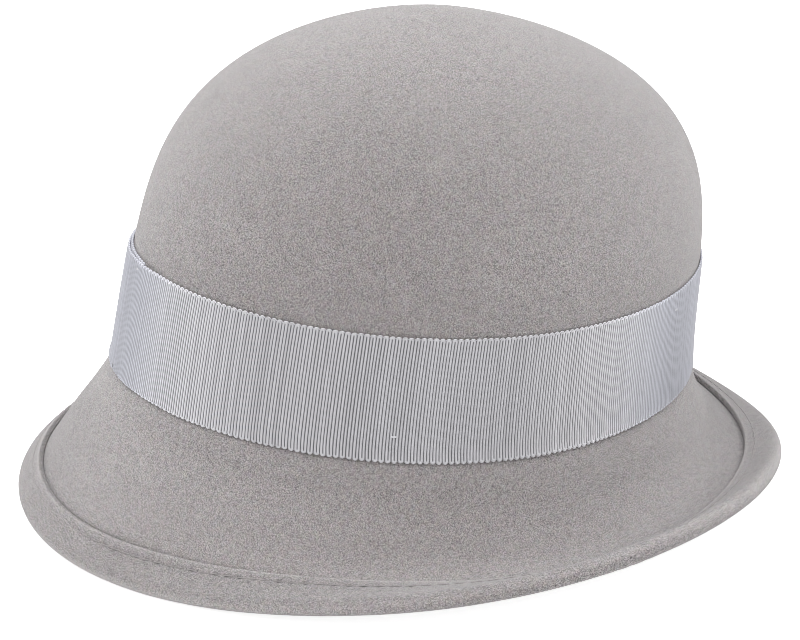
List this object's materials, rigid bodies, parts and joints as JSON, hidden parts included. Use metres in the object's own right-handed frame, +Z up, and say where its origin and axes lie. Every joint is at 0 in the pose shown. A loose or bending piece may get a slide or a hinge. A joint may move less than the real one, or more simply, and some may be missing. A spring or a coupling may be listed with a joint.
{
  "type": "felt cloche hat",
  "caption": "Round-crowned felt cloche hat with a short bell brim, a turned-up stitched hem, a wide ribbed ribbon band lapped at the front right, and an inner sweatband with a size cord.",
  "frame": {"origin": "middle of the hat's footprint, at table height, with the hat standing on its brim", "axes": "+Z up, -Y the front of the hat, +X the wearer's left. On the table the crown leans 8.2 degrees back and to the wearer's left, because the brim dips in front and on the right; the head_opening mount gives the crown's own axis"},
  "size_m": [0.2684, 0.2536, 0.1608],
  "materials": {
    "felt": "taupe-grey wool felt with a short, soft nap",
    "wire_cover": "cotton-wrapped millinery wire",
    "steel": "plain crimped steel sleeve",
    "hem_thread": "matt sewing thread, a little lighter than the felt",
    "ribbon": "silver-grey grosgrain with a soft sheen and looped edges",
    "tack_thread": "fine pale sewing thread",
    "sweat_ribbon": "matt petersham ribbon, fine ribs",
    "sweat_thread": "matt sewing thread",
    "cord": "thin braided cord",
    "label_dark": "blank woven satin label",
    "label_light": "blank folded satin tab"
  },
  "bodies": {
    "root": {"felt_body": "felt", "brim_wire": "wire_cover", "wire_joiner": "steel", "hem_stitch_top": "hem_thread", "hem_stitch_under": "hem_thread", "hat_band": "ribbon", "band_tacks": "tack_thread", "sweatband": "sweat_ribbon", "sweatband_stitching": "sweat_thread", "size_cord": "cord", "main_label": "label_dark", "size_tab": "label_light"}
  },
  "joints": []
}
